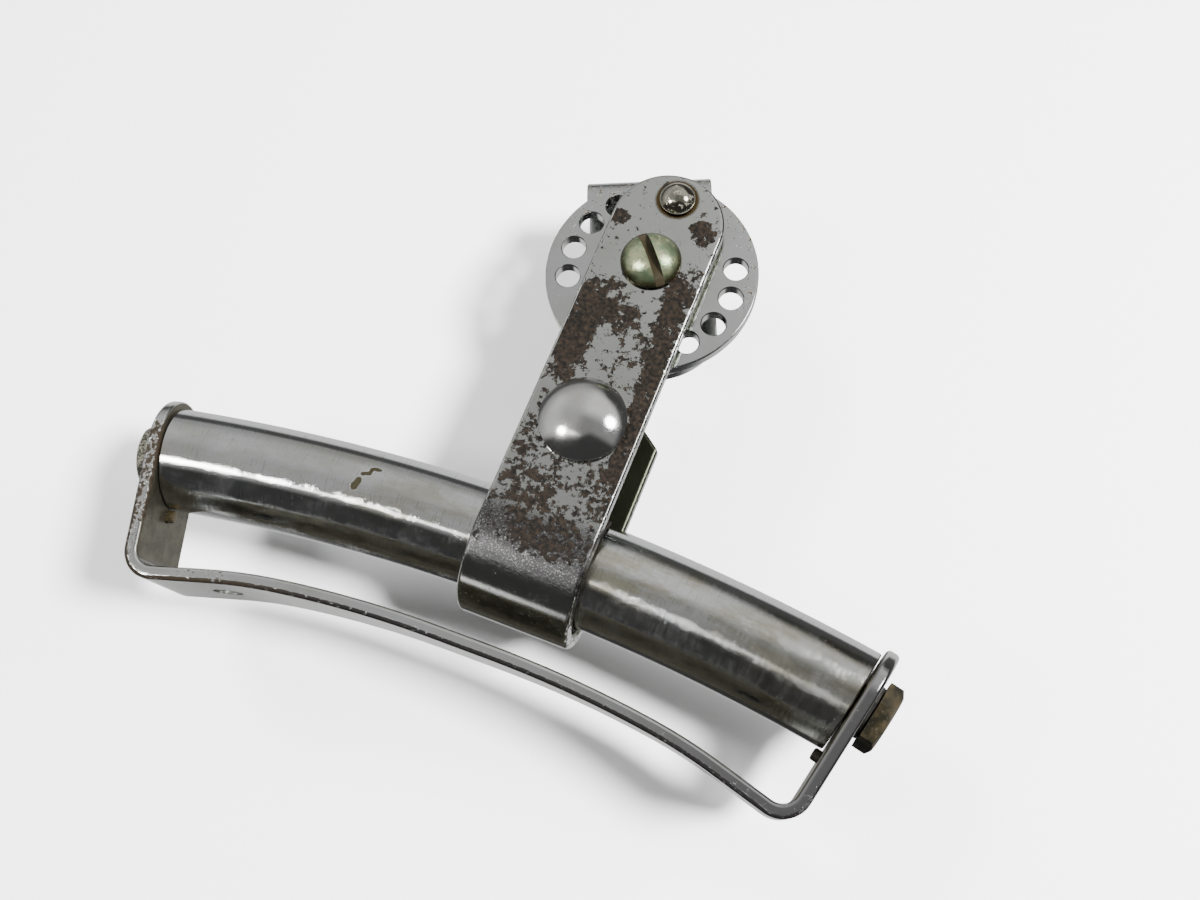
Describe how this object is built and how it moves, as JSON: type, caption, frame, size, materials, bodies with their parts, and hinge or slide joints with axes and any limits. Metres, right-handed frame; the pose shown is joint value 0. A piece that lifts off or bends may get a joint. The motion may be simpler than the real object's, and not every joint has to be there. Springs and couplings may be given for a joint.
{
  "type": "drum shell rail mount with tilter arm",
  "caption": "Curved tube rail on a bent foot bar, with a strap clamp whose arm ends in a notched tilting bracket; fastens one drum to another's shell.",
  "frame": {"origin": "Middle of the foot bar's seat face, the face that lies on the drum shell, at mid-length and mid-width.", "axes": "+X along the rail to the right, +Y from the seat up through the tube towards the arm, +Z out of the front face of the arm. The part lies on its back, as on a table, with the wing nut below."},
  "size_m": [0.1455, 0.108, 0.0432],
  "materials": {
    "bracket_chrome": "bright nickel-chrome plating, pitted along its edges",
    "tube_chrome": "polished plating with fine scratches and a yellow haze",
    "arm_chrome": "chrome plating flaked off in dark brown patches",
    "dome_chrome": "polished dome, light scratches",
    "rusty_steel": "brown rusty steel",
    "dark_steel": "dull dark steel",
    "aged_zinc": "greenish yellow tarnished plating",
    "pin_steel": "tarnished plating with brown spots",
    "plate_chrome": "bright satin plating with small brown specks",
    "nut_plating": "worn plating",
    "fibre": "dark vulcanised fibre"
  },
  "bodies": {
    "rail": {"rail_bracket": "bracket_chrome", "rail_tube": "tube_chrome", "tube_plug_left": "dark_steel", "tube_plug_right": "dark_steel", "end_bolt_left": "rusty_steel", "end_bolt_right": "rusty_steel", "lock_washer_right": "dark_steel", "locating_stud_left": "rusty_steel", "locating_stud_right": "rusty_steel"},
    "clamp_liner": {"clamp_liner": "fibre"},
    "clamp_arm": {"clamp_arm": "arm_chrome", "clamp_bolt": "dome_chrome", "index_pin": "pin_steel", "friction_washer": "dark_steel"},
    "clamp_washer": {"clamp_washer": "nut_plating"},
    "wing_nut": {"wing_nut": "nut_plating"},
    "pivot_screw": {"pivot_screw": "aged_zinc"},
    "pivot_nut": {"pivot_nut": "dark_steel"},
    "tom_bracket": {"tom_bracket": "plate_chrome"}
  },
  "joints": [
    {"name": "rail_slide", "type": "hinge", "parent": "rail", "child": "clamp_liner", "pos_m": [0, -0.3592, 0], "axis": [0, 0, -1], "range_deg": [-8.5, 6.7]},
    {"name": "arm_tilt", "type": "hinge", "parent": "clamp_liner", "child": "clamp_arm", "pos_m": [0.00581, 0.02076, 0], "axis": [0.9999, -0.0153, 0], "range_deg": [-80, 90]},
    {"name": "washer_backoff", "type": "slide", "parent": "clamp_arm", "child": "clamp_washer", "axis": [-0.0013, -0.0833, -0.9965], "range_m": [0, 0.00254]},
    {"name": "wing_turn", "type": "hinge", "parent": "clamp_washer", "child": "wing_nut", "pos_m": [0.00615, 0.04297, -0.00186], "axis": [-0.0013, -0.0833, -0.9965], "range_deg": [0, 720]},
    {"name": "screw_turn", "type": "hinge", "parent": "clamp_arm", "child": "pivot_screw", "pos_m": [0.00667, 0.07665, 0.00488], "axis": [0.0013, 0.0833, 0.9965], "range_deg": [0, 540]},
    {"name": "ratchet_release", "type": "slide", "parent": "clamp_arm", "child": "pivot_nut", "axis": [-0.0013, -0.0833, -0.9965], "range_m": [0, 0.00191]},
    {"name": "ratchet_turn", "type": "hinge", "parent": "pivot_nut", "child": "tom_bracket", "pos_m": [0.00667, 0.07665, 0.00488], "axis": [0.0013, 0.0833, 0.9965], "continuous": true}
  ],
  "couplings": [
    {"joint": "wing_turn", "follows": "washer_backoff", "rad_per_m": 4947.4},
    {"joint": "screw_turn", "follows": "ratchet_release", "rad_per_m": 4947.4}
  ]
}
